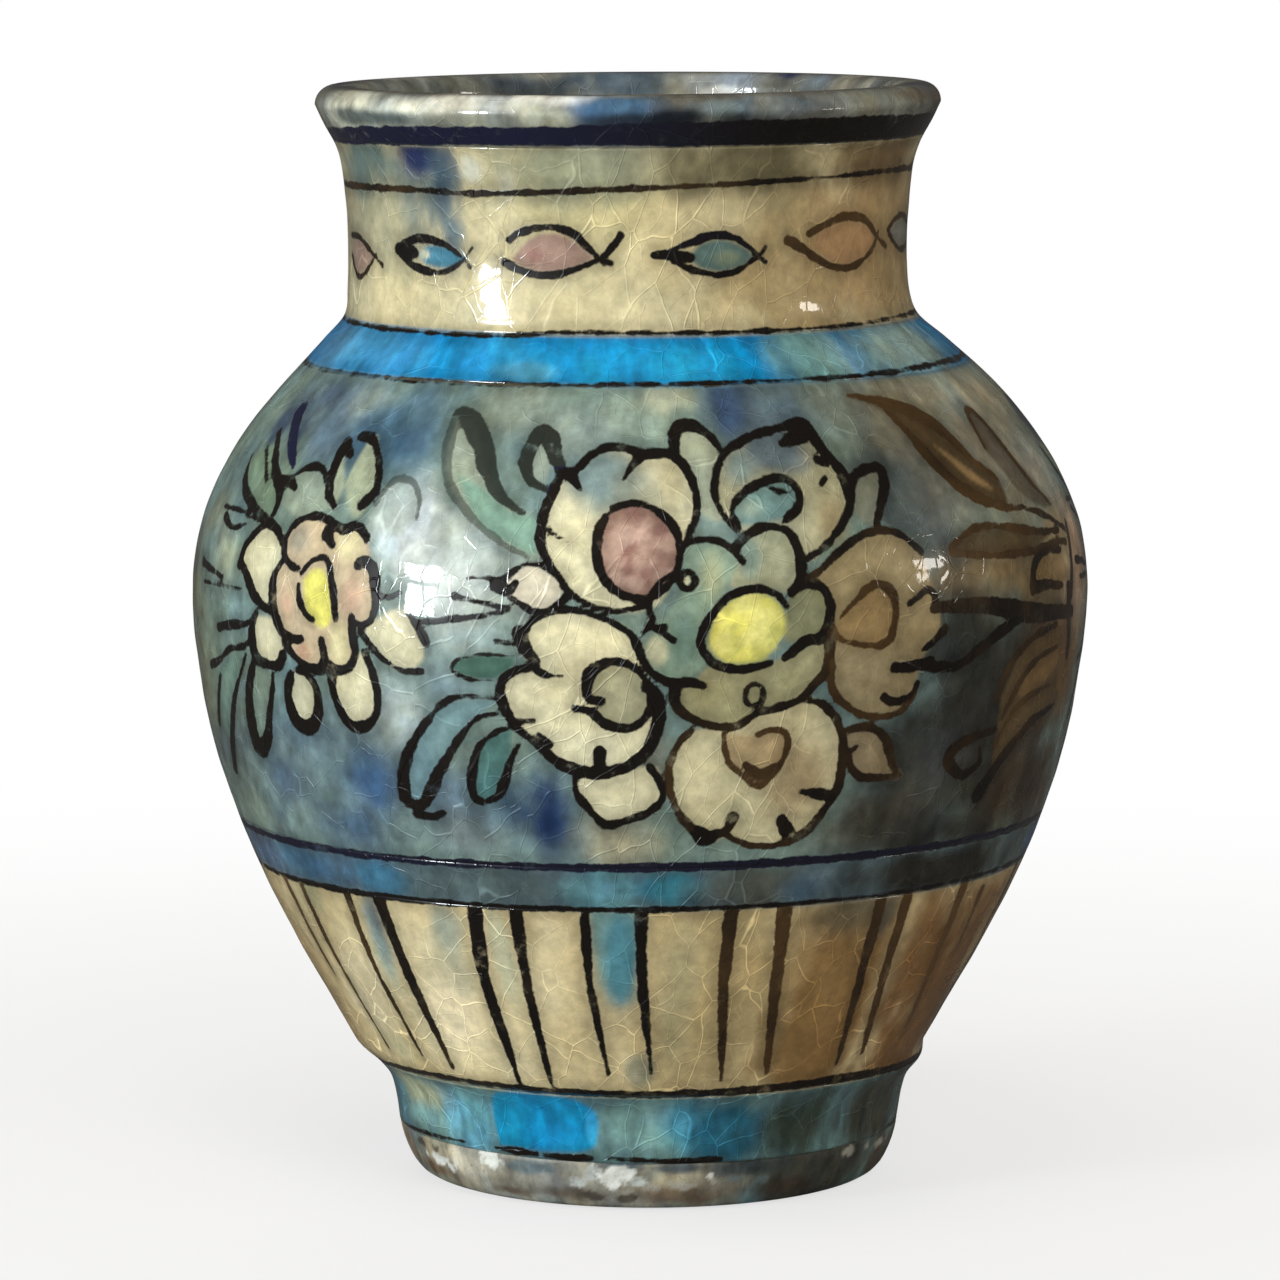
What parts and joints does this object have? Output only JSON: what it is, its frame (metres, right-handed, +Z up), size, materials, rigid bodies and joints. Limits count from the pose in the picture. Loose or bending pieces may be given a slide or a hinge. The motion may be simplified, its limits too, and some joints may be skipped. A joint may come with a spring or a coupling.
{
  "type": "crackle glaze vase",
  "caption": "Wide-mouthed pottery vase with a rolled lip, waisted neck, full shoulder tapering to a turned foot, and a painted crackled glaze; it stands free and holds flowers or water.",
  "frame": {"origin": "centre of the belly on the plane of the standing ring", "axes": "+Z up through the mouth, -Y towards the painted bouquet in the picture, +X to its right"},
  "size_m": [0.1636, 0.1636, 0.2],
  "materials": {
    "clay": "matte bare earthenware body",
    "outer_glaze": "glossy crackled glaze over painting",
    "inner_glaze": "satin cream glaze"
  },
  "bodies": {
    "root": {"foot_ring": "clay", "lower_body": "clay", "upper_body": "clay", "neck": "clay", "rim": "clay", "outer_glaze": "outer_glaze", "inner_glaze": "inner_glaze"}
  },
  "joints": []
}
